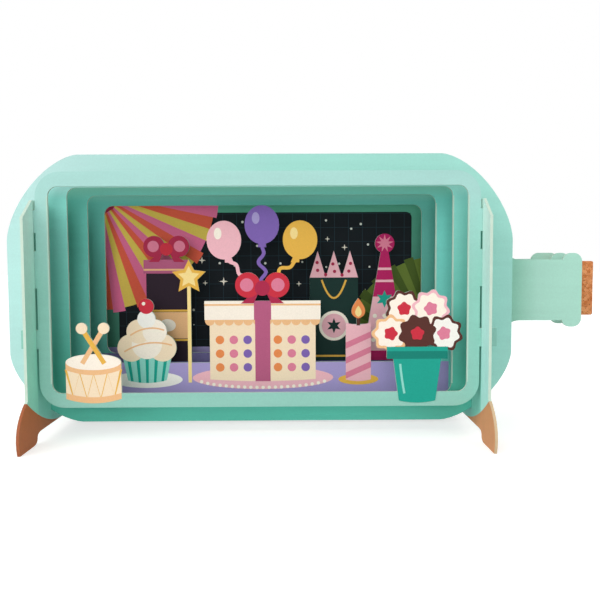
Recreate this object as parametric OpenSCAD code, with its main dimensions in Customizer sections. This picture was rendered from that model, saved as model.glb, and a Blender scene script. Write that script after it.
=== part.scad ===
// Bottle-shaped stand-up greeting card: five die-cut card layers slotted into two footed stands.
// X runs along the bottle to the cork, Y runs from the front frame to the back, Z is up from the table.

/* [Bottle outline] */
// Length of the bottle's body, without neck and cork
body_len = 190; // [180:1:220]
// Height of the bottle's body
body_h = 100.7; // [98:0.1:115]
// Length of a rounded shoulder along the bottle
shoulder_len = 27; // [16:0.5:30]
// Height of an upper shoulder
shoulder_h = 32; // [20:0.5:34]
// Height of a lower shoulder
low_shoulder_h = 26; // [20:0.5:34]
// Fullness of the shoulder curve: 2 is an ellipse, less is flatter
shoulder_fullness = 1.6; // [1.4:0.1:2.4]
// Length of the neck from the body to the lip
neck_len = 23.8; // [16:0.2:36]
// Height of the neck
neck_h = 24.1; // [23:0.1:30]
// How far the neck's middle lies under the body's middle
neck_drop = 1.75; // [0:0.05:4]
// Radius of the hollow curve where the neck leaves the body
neck_fillet = 7; // [3:0.1:8]
// Length of the lip at the neck's end
lip_len = 7.8; // [7:0.1:12]
// How much sooner the back panel's lip starts
back_lip_more = 4; // [0:0.2:8]
// How far the lip stands out above and below the neck
lip_stand = 2.6; // [1:0.1:4]
// Radius of the lip's corners
lip_r = 3.4; // [1:0.1:3.5]

/* [Card and layers] */
// Thickness of the card that every layer and stand is cut from
card_t = 1; // [0.6:0.1:1.4]
// Distance from one layer to the next
layer_pitch = 13.5; // [10:0.5:18]
// Room on each side of a sheet in its slot
slot_clear = 0.1; // [0.05:0.05:0.2]

/* [Stands] */
// How far the body reaches past the middle of each stand
ear_w = 14.3; // [10:0.1:20]
// Height of the body's lower edge above the table
body_lift = 4.5; // [4:0.1:10]
// How far the stands' top edge stays under the body's upper edge
stand_drop = 17.8; // [14:0.1:24]
// How far the stands reach past the first and last layers
stand_overhang = 10.3; // [10:0.1:16]
// Length of the slope at the stands' top corners
bevel_len = 9.5; // [4:0.5:10]
// Drop of the slope at the stands' top corners
bevel_drop = 6.5; // [3:0.5:10]
// Height at which layers and stands lap into each other, as a part of the body's height
lap_part = 0.41; // [0.3:0.01:0.55]
// Height of the stands' lower rail between the feet
rail_height = 3.9; // [2:0.1:4.5]
// Height at which a foot starts to splay
leg_height = 17; // [12:0.5:24]
// How far a toe reaches past the stand's upright edge
toe_reach = 8.5; // [4:0.5:12]
// Swell of the foot beyond the toe
toe_swell = 4; // [1:0.5:6]
// Length of the sole behind the stand's upright edge
heel_len = 4.5; // [2:0.5:8]
// Length of the curve from the heel up to the rail
heel_curve = 8.5; // [6:0.5:12]

/* [Front frame] */
// Gap between the front frame and each stand
front_gap = 0.7; // [0.3:0.1:1.5]
// How far the front frame stays under the body's upper edge
front_margin = 7.7; // [5:0.1:12]
// How far the front frame stays above the body's lower edge
front_low_margin = 8.2; // [5:0.1:12]
// Width of the front frame's upper and lower strips
front_strip = 5.2; // [4:0.1:7]
// Width of the front frame's side strips
front_side = 4.5; // [3.5:0.1:7]
// Radius of the front frame's outer corners
front_r = 9; // [4:0.5:14]
// Radius of the front window's corners
front_window_r = 3.5; // [1:0.5:6]
// Place of the low tab, as a part of the stand's height
low_tab_at_part = 0.392; // [0.34:0.002:0.42]
// Height of the low tab itself, as a part of the stand's height
low_tab_part = 0.076; // [0.05:0.002:0.12]
// How far the low tab sticks out past the stand
low_tab_reach = 4; // [2:0.1:8]
// Place of the middle tab, as a part of the stand's height
mid_tab_at_part = 0.641; // [0.58:0.002:0.66]
// Height of the middle tab itself, as a part of the stand's height
mid_tab_part = 0.152; // [0.08:0.002:0.16]
// Place of the top tab, as a part of the stand's height
top_tab_at_part = 0.868; // [0.84:0.002:0.88]
// Height of the top tab itself, as a part of the stand's height
top_tab_part = 0.092; // [0.06:0.002:0.1]
// How far the upper tabs stick out past the stand
tab_reach = 0.3; // [0:0.1:2]
// Room above a tab in its slot
tab_room = 0.3; // [0.1:0.1:0.6]

/* [Windows] */
// Side strip of the bottle front, inside the stand
bottle_side = 7.9; // [6:0.1:10]
// Strip above the bottle front's window
bottle_top = 12.2; // [8:0.1:13]
// Strip below the bottle front's window
bottle_low = 10.5; // [8:0.1:14]
// Side strip of the middle frame, inside the stand
middle_side = 11.8; // [8:0.1:16]
// Strip above the middle frame's window
middle_top = 14.2; // [10:0.1:20]
// Table band below the middle frame's window
middle_low = 20.4; // [15:0.1:24]
// Side strip of the rear frame, inside the stand
rear_side = 15; // [10:0.1:20]
// Strip above the rear frame's window
rear_top = 17.4; // [12:0.1:24]
// Table band below the rear frame's window
rear_low = 22.5; // [16:0.1:26]
// Radius of the inner windows' corners
window_r = 3.5; // [1:0.5:6]

/* [Cork] */
// How far the cork shows past the lip
cork_show = 10.2; // [6:0.1:18]
// Height of the cork
cork_h = 22.4; // [16:0.1:22.8]
// Thickness of the cork slip
cork_t = 1.6; // [1:0.1:3]
// Radius of the cork's corners
cork_r = 0.8; // [0.5:0.1:4]

/* [Front cut-outs] */
// Body length that all the figures are drawn for
drawn_len = 190; // [180:1:220]
// Body height that all the figures are drawn for
drawn_h = 100.7; // [98:0.1:115]
// Depth to which the front figures reach down into the lower strip
front_sink = 3.6; // [2:0.1:4]
// Place of the drum along the bottle, from the body's middle
drum_x = -60; // [-62:1:-50]
// Width of the drum
drum_w = 20; // [14:0.5:24]
// Height of the drum's side
drum_h = 15; // [10:0.5:20]
// Length of a drumstick
stick_len = 15; // [10:0.5:20]
// Width of a drumstick
stick_w = 1.7; // [1.2:0.1:3]
// Place of the flower pot along the bottle
pot_x = 57; // [50:1:58]
// Width of the flower pot's rim
pot_w = 22; // [16:0.5:26]
// Height of the flower pot
pot_h = 20; // [14:0.5:26]
// Radius of a flower
flower_r = 6.4; // [5:0.1:7]

/* [Middle cut-outs] */
// Depth to which the middle figures reach down into the table band
middle_sink = 10; // [4:0.5:11]
// Place of the cupcake along the bottle
cupcake_x = -46; // [-54:1:-42]
// Width of the cupcake's paper cup at its top
cupcake_w = 20; // [14:0.5:24]
// Height of the cupcake's paper cup
cupcake_h = 14; // [12:0.5:18]
// Place of the star wand along the bottle
wand_x = -29; // [-32:1:-27]
// Height of the star's middle above the table band
wand_h = 34; // [24:0.5:46]
// Radius of the star
star_r = 7; // [4:0.5:9]
// Width of a wand or a string
string_w = 1.4; // [1.1:0.1:2]
// Place of the gift box along the bottle
gift_x = 0; // [-4:1:6]
// Width of the gift box
gift_w = 42; // [34:0.5:46]
// Height of the gift box under its lid
gift_h = 27; // [20:0.5:30]
// How far the lid overhangs the box on each side
lid_over = 2; // [1:0.1:3]
// Height of the lid
lid_h = 7.5; // [5:0.5:10]
// Radius of a bow loop on the gift box
bow_r = 5; // [3:0.5:6]
// Radius of a balloon
balloon_r = 6.8; // [5:0.1:7]
// Distance between the balloons along the bottle
balloon_step = 15; // [14:0.5:18]
// Height of the middle balloon's centre above the bow
balloon_rise = 25; // [20:0.5:26]
// How much lower the outer balloons hang
balloon_dip = 6; // [3:0.5:8]
// Sway of the curly strings
string_sway = 1.6; // [0.5:0.1:2.5]
// Place of the candle along the bottle
candle_x = 38; // [34:1:48]
// Width of the candle
candle_w = 10; // [6:0.5:14]
// Height of the candle
candle_h = 25; // [16:0.5:32]
// Height of the flame
flame_h = 9; // [6:0.5:12]

/* [Rear cut-outs] */
// Depth to which the rear figures reach down into the table band
rear_sink = 7; // [3:0.5:10]
// Place of the tall parcel along the bottle
parcel_x = -40; // [-46:1:-36]
// Width of the tall parcel
parcel_w = 17; // [12:0.5:22]
// Height of the tall parcel under its lid
parcel_h = 40; // [28:0.5:44]
// Radius of a bow loop on the tall parcel
parcel_bow_r = 4.4; // [2.5:0.1:5]
// Place of the gift bag along the bottle
bag_x = 29; // [22:1:30]
// Width of the gift bag
bag_w = 20; // [14:0.5:22]
// Height of the gift bag
bag_h = 38; // [28:0.5:44]
// Height of the tissue peaks above the bag
tissue_h = 11; // [5:0.5:14]
// Place of the party hat along the bottle
hat_x = 50; // [47:1:52]
// Width of the party hat
hat_w = 20; // [14:0.5:22]
// Height of the party hat
hat_h = 52; // [36:0.5:56]
// Radius of the party hat's pompom
pompom_r = 4; // [2.5:0.1:4.5]

/* [Hidden] */
$fn = 64;
layers = 5;
cut = 1;                 // how far a cut runs past the edge it opens
overlap = 0.5;           // how far shapes of one sheet run into each other
curve_steps = 8;         // straight steps in one drawn curve
shoulder_steps = 14;     // straight steps in one shoulder
peaks = 3;               // tissue peaks on the gift bag
stick_lean = 32;         // lean of a drumstick, in degrees
drum_head = 0.29;        // depth of the drum's oval head, as a part of its width
pot_foot = 0.6;          // width of the pot's foot, as a part of its rim
pot_waist = 0.84;        // width of the pot under its rim, as a part of its rim
rim_part = 0.2;          // height of the pot's rim, as a part of the pot
flower_gap = 1.5;        // distance between flowers side by side, in flower radii
flower_rows = [0.75, 2.15];  // height of each row of flowers above the pot, in flower radii
cup_foot = 0.7;          // width of the paper cup's foot, as a part of its top
star_inner = 0.5;        // inner radius of a star, as a part of the outer one
balloon_long = 1.12;     // height of a balloon, as a part of its width
heel_part = 0.55;        // height at which the heel's curve turns, as a part of the rail's
swell_part = 0.6;        // height of the foot's swell, as a part of the leg's
stick_place = 0.2;       // distance of a drumstick from the drum's middle, as a part of its width
knob = 1.2;              // radius of a drumstick's knob, in stick widths
petal_count = 8;         // petals of a flower
petal_swell = 0.1;       // swell of the petals, as a part of the flower's radius
flower_turn = [20, 15];  // turn of a flower for each row and for each place in it, in degrees
cap_part = 0.33;         // height of the tall parcel's lid, as a part of its width
hat_tip = 0.25;          // half width of the hat's tip, in pompom radii
flame_belly = [0.6, 0.2];    // bulge of the flame to the side and upwards, in flame heights
flame_tip = 0.9;         // height of the flame's tip, in flame heights
flame_lift = 0.25;       // height of the flame's foot above the candle, in flame heights

// Bow, in loop radii: middle of a loop, root and ends of a tail, radius of the knot
loop_at = [1.15, 0.25];
tail_root = 0.3;
tail_ends = [0.7, 1.7];
tail_drop = 1.2;
knot_r = 0.6;

// Balloon's tie, in balloon radii: how far it leans in, how low it hangs and half its width
tie_lean = 0.3;
tie_drop = 1.3;
tie_half = 0.25;

// Round blobs of icing and the cherry: place, height above the cup and radius, in half cup widths
icing = [[-0.62, 0.2, 0.55], [0.62, 0.2, 0.55], [0, 0.35, 0.6],
         [-0.32, 0.85, 0.48], [0.32, 0.85, 0.48], [0, 1.35, 0.36], [0, 1.85, 0.3]];

// The whole length runs from the body's end to the cork's end, and its middle is at X = 0
neck_reach = neck_len + lip_len;
whole_len = body_len + neck_reach + cork_show;
body_x = (body_len - whole_len) / 2;
body_mid_z = body_lift + body_h / 2;
body_top_z = body_lift + body_h;
neck_z = body_mid_z - neck_drop;
lip_h = neck_h + 2 * lip_stand;

// The stands stand on both sides of the front frame
stand_x = body_len / 2 - ear_w;
stand_in = stand_x - card_t / 2;
stand_out = stand_x + card_t / 2;
slot_w = card_t + 2 * slot_clear;
stack_d = (layers - 1) * layer_pitch + card_t;
stand_half = stack_d / 2 + stand_overhang;
stand_top = body_top_z - stand_drop;
lap_height = body_lift + body_h * lap_part;

// Height, size and reach of each tab
tabs = [[stand_top * low_tab_at_part, stand_top * low_tab_part, low_tab_reach],
        [stand_top * mid_tab_at_part, stand_top * mid_tab_part, tab_reach],
        [stand_top * top_tab_at_part, stand_top * top_tab_part, tab_reach]];

// Front frame and windows
front_half = stand_in - front_gap;
front_low_z = body_lift + front_low_margin;
front_top_z = body_top_z - front_margin;
front_base_z = front_low_z + front_strip;
middle_base_z = body_lift + middle_low;
rear_base_z = body_lift + rear_low;
figure_k = min(body_len / drawn_len, body_h / drawn_h);

mint = "#A9E0D6";
shade_mint = "#86C4B6";
cork_brown = "#C97F4B";

// Front face of a layer, counted from 0 at the front
function layer_y(i) = i * layer_pitch - stack_d / 2;

// Points of a curve that leaves a towards b and heads for c, without c itself
function bend(a, b, c) =
    [for (i = [0 : curve_steps - 1]) let (s = i / curve_steps)
        (1 - s) * (1 - s) * a + 2 * s * (1 - s) * b + s * s * c];

// Points of an oval
function oval(rx, rz) = [for (a = [0 : 15 : 345]) [rx * cos(a), rz * sin(a)]];

// Points of a circle whose edge swells into petals
function petals(r, count, swell) =
    [for (a = [0 : 60 / count : 359]) let (q = r * (1 + swell * cos(count * a)))
        [q * cos(a), q * sin(a)]];

// Points of a star
function star(r, inner) =
    [for (i = [0 : 9]) let (q = i % 2 == 0 ? r : r * inner) [q * sin(36 * i), q * cos(36 * i)]];

// Points of a strip of width w that waves from a to b
function wavy(a, b, w, sway) =
    let (d = b - a, n = [-d[1], d[0]] / norm(d), steps = 3 * curve_steps)
    let (mid = [for (i = [0 : steps]) let (s = i / steps)
        a + s * d + n * sway * sin(720 * s) * sin(180 * s)])
    concat([for (i = [0 : steps]) mid[i] + n * w / 2], [for (i = [steps : -1 : 0]) mid[i] - n * w / 2]);

// Quarter of the body's outline: a shoulder of height h from the top edge to the end
function shoulder(h) =
    [for (i = [0 : shoulder_steps]) let (a = 90 * i / shoulder_steps, p = 2 / shoulder_fullness)
        [body_len / 2 - shoulder_len + shoulder_len * pow(sin(a), p),
         body_h / 2 - h + h * pow(cos(a), p)]];

function flip(points, sx, sz) = [for (p = points) [sx * p[0], sz * p[1]]];
function back_to_front(points) = [for (i = [len(points) - 1 : -1 : 0]) points[i]];

// Twice the area inside a loop of points, above zero where the loop runs anticlockwise
function turn(points) =
    let (n = len(points))
    [for (i = [0 : n - 1]) cross(points[i], points[(i + 1) % n])] * [for (p = points) 1];

// A flat shape inside a loop of points, always drawn anticlockwise
module outline(points) {
    polygon(turn(points) > 0 ? points : back_to_front(points));
}

// A sheet of card that stands across the bottle, from an outline in X and Z
module sheet(i) {
    translate([0, layer_y(i) + card_t, 0]) rotate([90, 0, 0]) linear_extrude(card_t) children();
}

// A rectangle with round corners, from its lowest to its highest corner
module round_rect(x0, z0, x1, z1, r) {
    translate([x0 + r, z0]) square([x1 - x0 - 2 * r, z1 - z0]);
    translate([x0, z0 + r]) square([x1 - x0, z1 - z0 - 2 * r]);
    for (x = [x0 + r, x1 - r], z = [z0 + r, z1 - r]) translate([x, z]) circle(r);
}

// Outline of the bottle's body with the two slots that drop over the stands
module body_outline() {
    upper = shoulder(shoulder_h);
    lower = shoulder(low_shoulder_h);
    difference() {
        translate([body_x, body_mid_z])
            outline(concat(upper,
                           back_to_front(flip(lower, 1, -1)),
                           flip(lower, -1, -1),
                           back_to_front(flip(upper, -1, 1))));
        for (side = [-1, 1])
            translate([body_x + side * stand_x - slot_w / 2, body_lift - cut])
                square([slot_w, lap_height - body_lift + cut]);
    }
}

// Outline of the neck and of its lip of length lip, which grow out of the body's right end
module neck_outline(lip) {
    end_x = body_x + body_len / 2;
    lip_end = end_x + neck_reach;
    translate([end_x - overlap, neck_z - neck_h / 2]) square([neck_len + overlap, neck_h]);
    round_rect(lip_end - lip, neck_z - lip_h / 2, lip_end, neck_z + lip_h / 2, lip_r);
    for (side = [-1, 1])
        difference() {
            translate([end_x - overlap, neck_z + side * (neck_h + neck_fillet) / 2 - neck_fillet / 2])
                square([neck_fillet + overlap, neck_fillet]);
            translate([end_x + neck_fillet, neck_z + side * (neck_h / 2 + neck_fillet)])
                circle(neck_fillet);
        }
}

// Window between the stands, from the widths of the strips around it
module window(side, low, top, r) {
    half = stand_in - side;
    round_rect(body_x - half, body_lift + low, body_x + half, body_top_z - top, r);
}

// Places a figure along the bottle and fits it to the body's size
module figure(x, z) {
    translate([body_x + x * figure_k, z]) scale(figure_k) children();
}

// Two loops, a knot and two tails, with the knot's middle at the origin
module bow(r) {
    for (side = [-1, 1]) {
        translate([side * r * loop_at[0], r * loop_at[1]]) circle(r);
        outline([[0, r * tail_root],
                 [side * r * tail_ends[1], -r * tail_drop],
                 [side * r * tail_ends[0], -r * tail_drop]]);
    }
    circle(r * knot_r);
}

// Drum with two crossed sticks, standing on the origin
module drum() {
    translate([-drum_w / 2, 0]) square([drum_w, drum_h]);
    translate([0, drum_h]) outline(oval(drum_w / 2, drum_w * drum_head / 2));
    for (side = [-1, 1])
        translate([side * drum_w * stick_place, drum_h - overlap]) rotate(side * stick_lean) {
            translate([-stick_w / 2, 0]) square([stick_w, stick_len]);
            translate([0, stick_len]) circle(stick_w * knob);
        }
}

// Flower pot with a bunch of round flowers, standing on the origin
module flower_pot() {
    rim_h = pot_h * rim_part;
    foot = pot_w * pot_foot / 2;
    waist = pot_w * pot_waist / 2;
    outline([[-foot, 0], [foot, 0], [waist, pot_h], [-waist, pot_h]]);
    translate([-pot_w / 2, pot_h - rim_h]) square([pot_w, rim_h]);
    for (row = [0, 1], i = [0 : 2 - row])
        translate([(i - 1 + row / 2) * flower_r * flower_gap, pot_h + flower_r * flower_rows[row]])
            rotate([row, i] * flower_turn) outline(petals(flower_r, petal_count, petal_swell));
}

// Cupcake with piped icing and a cherry, standing on the origin
module cupcake() {
    r = cupcake_w / 2;
    outline([[-r * cup_foot, 0], [r * cup_foot, 0], [r, cupcake_h], [-r, cupcake_h]]);
    for (blob = icing) translate([r * blob[0], cupcake_h + r * blob[1]]) circle(r * blob[2]);
}

// Star on a wand, with the wand's foot at the origin
module star_wand() {
    rise = middle_sink + wand_h;
    translate([-string_w / 2, 0]) square([string_w, rise]);
    translate([0, rise]) outline(star(star_r, star_inner));
}

// Gift box with a lid, a bow and three balloons on curly strings, standing on the origin
module gift_box() {
    knot_z = gift_h + lid_h + bow_r;
    translate([-gift_w / 2, 0]) square([gift_w, gift_h + overlap]);
    translate([-gift_w / 2 - lid_over, gift_h]) square([gift_w + 2 * lid_over, lid_h]);
    translate([0, knot_z]) bow(bow_r);
    for (i = [-1 : 1]) {
        middle = [i * balloon_step, knot_z + balloon_rise - abs(i) * balloon_dip];
        tie = middle - balloon_r * [i * tie_lean, tie_drop];
        translate(middle) outline(oval(balloon_r, balloon_r * balloon_long));
        outline([middle, tie - [balloon_r * tie_half, 0], tie + [balloon_r * tie_half, 0]]);
        outline(wavy([0, knot_z], tie + [0, overlap], string_w, string_sway));
    }
}

// Candle with a flame, standing on the origin
module candle() {
    belly = flame_h * flame_belly;
    tip = [0, flame_h * flame_tip];
    translate([-candle_w / 2, 0]) square([candle_w, candle_h]);
    translate([-string_w / 2, candle_h - overlap]) square([string_w, flame_h / 2]);
    translate([0, candle_h + flame_h * flame_lift])
        outline(concat(bend([0, 0], belly, tip), bend(tip, [-belly[0], belly[1]], [0, 0])));
}

// Tall parcel with a lid and a bow, standing on the origin
module parcel() {
    cap_h = parcel_w * cap_part;
    translate([-parcel_w / 2, 0]) square([parcel_w, parcel_h + overlap]);
    translate([-parcel_w / 2 - lid_over / 2, parcel_h]) square([parcel_w + lid_over, cap_h]);
    translate([0, parcel_h + cap_h + parcel_bow_r]) bow(parcel_bow_r);
}

// Gift bag with peaks of tissue, standing on the origin
module gift_bag() {
    peak_w = bag_w / peaks;
    translate([-bag_w / 2, 0]) square([bag_w, bag_h]);
    outline(concat([[bag_w / 2, bag_h - overlap], [-bag_w / 2, bag_h - overlap]],
                   [for (i = [0 : 2 * peaks]) [-bag_w / 2 + i * peak_w / 2, bag_h + (i % 2) * tissue_h]]));
}

// Party hat with a pompom, standing on the origin
module party_hat() {
    tip = pompom_r * hat_tip;
    outline([[-hat_w / 2, 0], [hat_w / 2, 0], [tip, hat_h], [-tip, hat_h]]);
    translate([0, hat_h]) circle(pompom_r);
}

// The frontmost ring, held between the stands by three tabs on each side
module front_frame() {
    half = front_half - front_side;
    color(mint) sheet(0) {
        difference() {
            union() {
                round_rect(body_x - front_half, front_low_z, body_x + front_half, front_top_z, front_r);
                for (tab = tabs, side = [-1, 1])
                    translate([body_x + side * (front_half + stand_out + tab[2]) / 2, tab[0] + tab[1] / 2])
                        square([stand_out + tab[2] - front_half + 2 * overlap, tab[1]], center = true);
            }
            round_rect(body_x - half, front_base_z,
                       body_x + half, front_top_z - front_strip, front_window_r);
        }
        figure(drum_x, front_base_z - front_sink) drum();
        figure(pot_x, front_base_z - front_sink) flower_pot();
    }
}

// The bottle's body as a panel with the largest window
module bottle_front() {
    color(mint) sheet(1) difference() {
        body_outline();
        window(bottle_side, bottle_low, bottle_top, window_r);
    }
}

// The third layer: the first neck, the table band and the figures that stand on it
module middle_frame() {
    color(mint) sheet(2) {
        difference() {
            union() {
                body_outline();
                neck_outline(lip_len);
            }
            window(middle_side, middle_low, middle_top, window_r);
        }
        figure(cupcake_x, middle_base_z - middle_sink) cupcake();
        figure(wand_x, middle_base_z - middle_sink) star_wand();
        figure(gift_x, middle_base_z - middle_sink) gift_box();
        figure(candle_x, middle_base_z - middle_sink) candle();
    }
}

// The fourth layer: the second neck and the tall figures at the back of the table
module rear_frame() {
    color(mint) sheet(3) {
        difference() {
            union() {
                body_outline();
                neck_outline(lip_len);
            }
            window(rear_side, rear_low, rear_top, window_r);
        }
        figure(parcel_x, rear_base_z - rear_sink) parcel();
        figure(bag_x, rear_base_z - rear_sink) gift_bag();
        figure(hat_x, rear_base_z - rear_sink) party_hat();
    }
}

// The closed back of the bottle with the last neck
module back_panel() {
    color(shade_mint) sheet(4) {
        body_outline();
        neck_outline(lip_len + back_lip_more);
    }
}

// Outline of a stand in Y and Z: rail, heel, sole, splayed toe, upright edge and bevel, both ways
module stand_outline() {
    edge = -stand_half;
    heel_top = rail_height * heel_part;
    heel_y = edge + heel_len + heel_curve / 2;
    arch_y = edge + heel_len + heel_curve;
    half = concat(bend([arch_y, rail_height], [heel_y, rail_height], [heel_y, heel_top]),
                  bend([heel_y, heel_top], [heel_y, 0], [edge + heel_len, 0]),
                  [[edge + heel_len, 0]],
                  bend([edge - toe_reach, 0], [edge - toe_reach - toe_swell, leg_height * swell_part],
                       [edge, leg_height]),
                  [[edge, leg_height], [edge, stand_top - bevel_drop], [edge + bevel_len, stand_top]]);
    outline(concat(half, back_to_front(flip(half, -1, 1))));
}

// A stand with the slots for the layers that drop into it and for the front frame's tabs
module stand(side) {
    translate([body_x + side * stand_x - card_t / 2, 0, 0]) rotate([90, 0, 90]) linear_extrude(card_t)
        difference() {
            stand_outline();
            for (i = [1 : layers - 1])
                translate([layer_y(i) - slot_clear, lap_height])
                    square([slot_w, stand_top - lap_height + cut]);
            for (tab = tabs)
                translate([layer_y(0) - slot_clear, tab[0]]) square([slot_w, tab[1] + tab_room]);
        }
}

module left_stand() {
    color(mint) stand(-1);
}

module right_stand() {
    color(mint) stand(1);
}

// The cork slip, glued to the back of the rear frame's neck and showing past the lip
module cork() {
    lip_end = body_x + body_len / 2 + neck_reach;
    color(cork_brown)
        translate([0, layer_y(3) + card_t + cork_t, 0]) rotate([90, 0, 0]) linear_extrude(cork_t)
            round_rect(lip_end - lip_len, neck_z - cork_h / 2,
                       lip_end + cork_show, neck_z + cork_h / 2, cork_r);
}

front_frame();
bottle_front();
middle_frame();
rear_frame();
back_panel();
left_stand();
right_stand();
cork();
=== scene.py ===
# %% [markdown]
# # A bottle-shaped stand-up greeting card
# Five sheets of card stand one behind the other in two footed stands, like a small stage. Each sheet was
# printed flat, cut to shape with a die, and pushed into its slots by hand.
#
# ## Load the CAD part
# The cut shapes come from a CAD part, because sheets that slot into each other need exact sizes. They stay as
# they are here and only get materials.

import math
import random

import bpy
from mathutils import Matrix, Vector


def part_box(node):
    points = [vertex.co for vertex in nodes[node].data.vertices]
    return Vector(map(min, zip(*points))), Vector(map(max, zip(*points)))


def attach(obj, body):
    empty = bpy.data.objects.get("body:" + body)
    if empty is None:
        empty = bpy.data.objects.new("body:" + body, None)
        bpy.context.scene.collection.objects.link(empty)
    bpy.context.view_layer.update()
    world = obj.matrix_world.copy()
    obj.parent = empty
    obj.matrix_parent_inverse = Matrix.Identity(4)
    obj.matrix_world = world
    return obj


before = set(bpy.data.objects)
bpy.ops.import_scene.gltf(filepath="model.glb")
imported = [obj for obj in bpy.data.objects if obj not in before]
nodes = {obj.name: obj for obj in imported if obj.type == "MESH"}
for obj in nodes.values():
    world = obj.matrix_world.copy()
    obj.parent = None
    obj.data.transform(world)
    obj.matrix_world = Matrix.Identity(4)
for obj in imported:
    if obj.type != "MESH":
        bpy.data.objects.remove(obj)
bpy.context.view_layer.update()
print("CAD nodes:", ", ".join(sorted(nodes)))

# %% [markdown]
# ## Measure the sheets
# On a real card the print is laid on the flat sheet before it is cut. Here the sheets are standing already,
# so the print has to know where each front face is. The faces are measured on the CAD objects, because
# typed numbers would be wrong as soon as the card changed. Only the heights of the figures' feet are typed:
# a foot runs down into its sheet and leaves no edge to measure.

# %% Measure the sheets
MM = 0.001
SHEETS = ("front_frame", "bottle_front", "middle_frame", "rear_frame", "back_panel")
FOOT_Z = {"front_frame": 14.3, "bottle_front": 0, "middle_frame": 14.9, "rear_frame": 20, "back_panel": 0}
face_y = {name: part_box(name)[0].y for name in SHEETS}
body_low, body_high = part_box("bottle_front")
body_x = (body_low.x + body_high.x) / 2
stage_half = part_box("right_stand")[0].x - body_x
stage_front = face_y["front_frame"]
stage_deep = face_y["back_panel"] - stage_front
print(f"Body's middle at x = {body_x / MM:.1f} mm")
print(f"Stage {2 * stage_half / MM:.1f} mm wide and {stage_deep / MM:.1f} mm deep")

# %% [markdown]
# ## Colours and nodes
# A colour picked on a screen is an sRGB value, but a shader counts light, so one function changes the first
# into the second. Another function adds any node. It sets the node's properties, links each input that is
# given a socket, and sets each input that is given a value. A material is then a short list of nodes that
# reads from top to bottom, which is easier to change than a picture of wires.

# %% Colours and nodes
def linear(hex_colour):
    channels = [int(hex_colour[i:i + 2], 16) / 255 for i in (1, 3, 5)]
    light = [c / 12.92 if c <= 0.04045 else ((c + 0.055) / 1.055) ** 2.4 for c in channels]
    return light + [1.0]


def add(tree, kind, settings, inputs):
    """Adds a node and returns its outputs."""
    made = tree.nodes.new("ShaderNode" + kind)
    for name, value in settings.items():
        setattr(made, name, value)
    for name, value in inputs.items():
        if isinstance(value, bpy.types.NodeSocket):
            tree.links.new(value, made.inputs[name])
        else:
            made.inputs[name].default_value = value
    return made.outputs


print("White in linear light:", linear("#FFFFFF"))

# %% [markdown]
# ## The surface of printed card
# Greeting cards are cut from solid board with a dull coating, and are printed in offset. Up close the colour
# is never quite even: fibres show through, the ink drifts over the sheet, and rollers leave faint streaks
# along it. Three noises, each with its own size in millimetres, are summed to a brightness. A photographed
# texture could do this too, but it needs a file and blurs when the camera comes close.

# %% The surface of printed card
FIBRE = (0.7, 0.7, 0.7)        # mm; a real fibre is 0.03 mm wide, so it is drawn coarser to show at all
CLOUD = (28.0, 28.0, 28.0)     # mm; slow drift of the ink
STREAK = (70.0, 3.0, 3.0)      # mm; long along a sheet and thin across it
PAPER_IOR = 1.5                # fibres and coating are both near this value
NOISE_DETAIL = 3.0
RELIEF = 0.35                  # a coating fills the fibres, so only a part of their height is left


def new_material(name, roughness, sheen):
    made = bpy.data.materials.new(name)
    made.use_nodes = True
    tree = made.node_tree
    surface = tree.nodes["Principled BSDF"].inputs
    surface["Metallic"].default_value = 0.0
    surface["IOR"].default_value = PAPER_IOR
    surface["Roughness"].default_value = roughness
    surface["Specular IOR Level"].default_value = sheen
    return made, tree, surface


def print_surface(tree, surface, colour, sizes, tones, depth):
    """Gives a colour a brightness that wanders between two tones, and bumps of a depth in mm."""
    place = add(tree, "NewGeometry", {}, {})["Position"]
    noises = []
    total = 0.0
    for size in sizes:
        steps = add(tree, "VectorMath", {"operation": "DIVIDE"}, {0: place, 1: [s * MM for s in size]})[0]
        noises.append(add(tree, "TexNoise", {}, {"Vector": steps, "Scale": 1.0, "Detail": NOISE_DETAIL})[0])
        total = add(tree, "Math", {"operation": "ADD"}, {0: total, 1: noises[-1]})[0]
    # Inputs 1 and 2 of MapRange are the range it reads, 3 and 4 the range it gives
    gain = add(tree, "MapRange", {}, {0: total, 1: 0.0, 2: float(len(sizes)), 3: tones[0], 4: tones[1]})[0]
    colour = add(tree, "HueSaturation", {}, {"Color": colour, "Value": gain})[0]
    tree.links.new(colour, surface["Base Color"])
    bumps = {"Height": noises[0], "Strength": RELIEF, "Distance": depth * MM}
    tree.links.new(add(tree, "Bump", {}, bumps)[0], surface["Normal"])


print("Fibres drawn", FIBRE[0], "mm wide, streaks", STREAK[0], "mm long")

# %% [markdown]
# ## Painted light and shade on the card
# The mint of the card is not one flat colour. Light and shade are painted into it as a ramp that slowly
# changes along a sheet. It is paler at the top and at the left, as painted light, and deeper and greener
# below and at the neck's root, as painted shade. A ramp is two colours and the two places between which one
# turns into the other. It takes two nodes, one that measures how far along a point lies and one that mixes.

# %% Painted light and shade on the card
COLOURS = {"data_type": "RGBA"}    # a Mix node then takes its colours from inputs 6 and 7 and gives output 2


# Painted light and shade: a colour that changes between two places along a sheet.
def painted_light_ramp(tree, along, start, end, hexes):
    """A colour that changes from the first hex at start to the second at end, both in mm."""
    part = add(tree, "MapRange", {}, {0: along, 1: start * MM, 2: end * MM})[0]
    return add(tree, "Mix", COLOURS, {0: part, 6: linear(hexes[0]), 7: linear(hexes[1])})[2]


print("A wash is ready to use along x or z")
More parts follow.
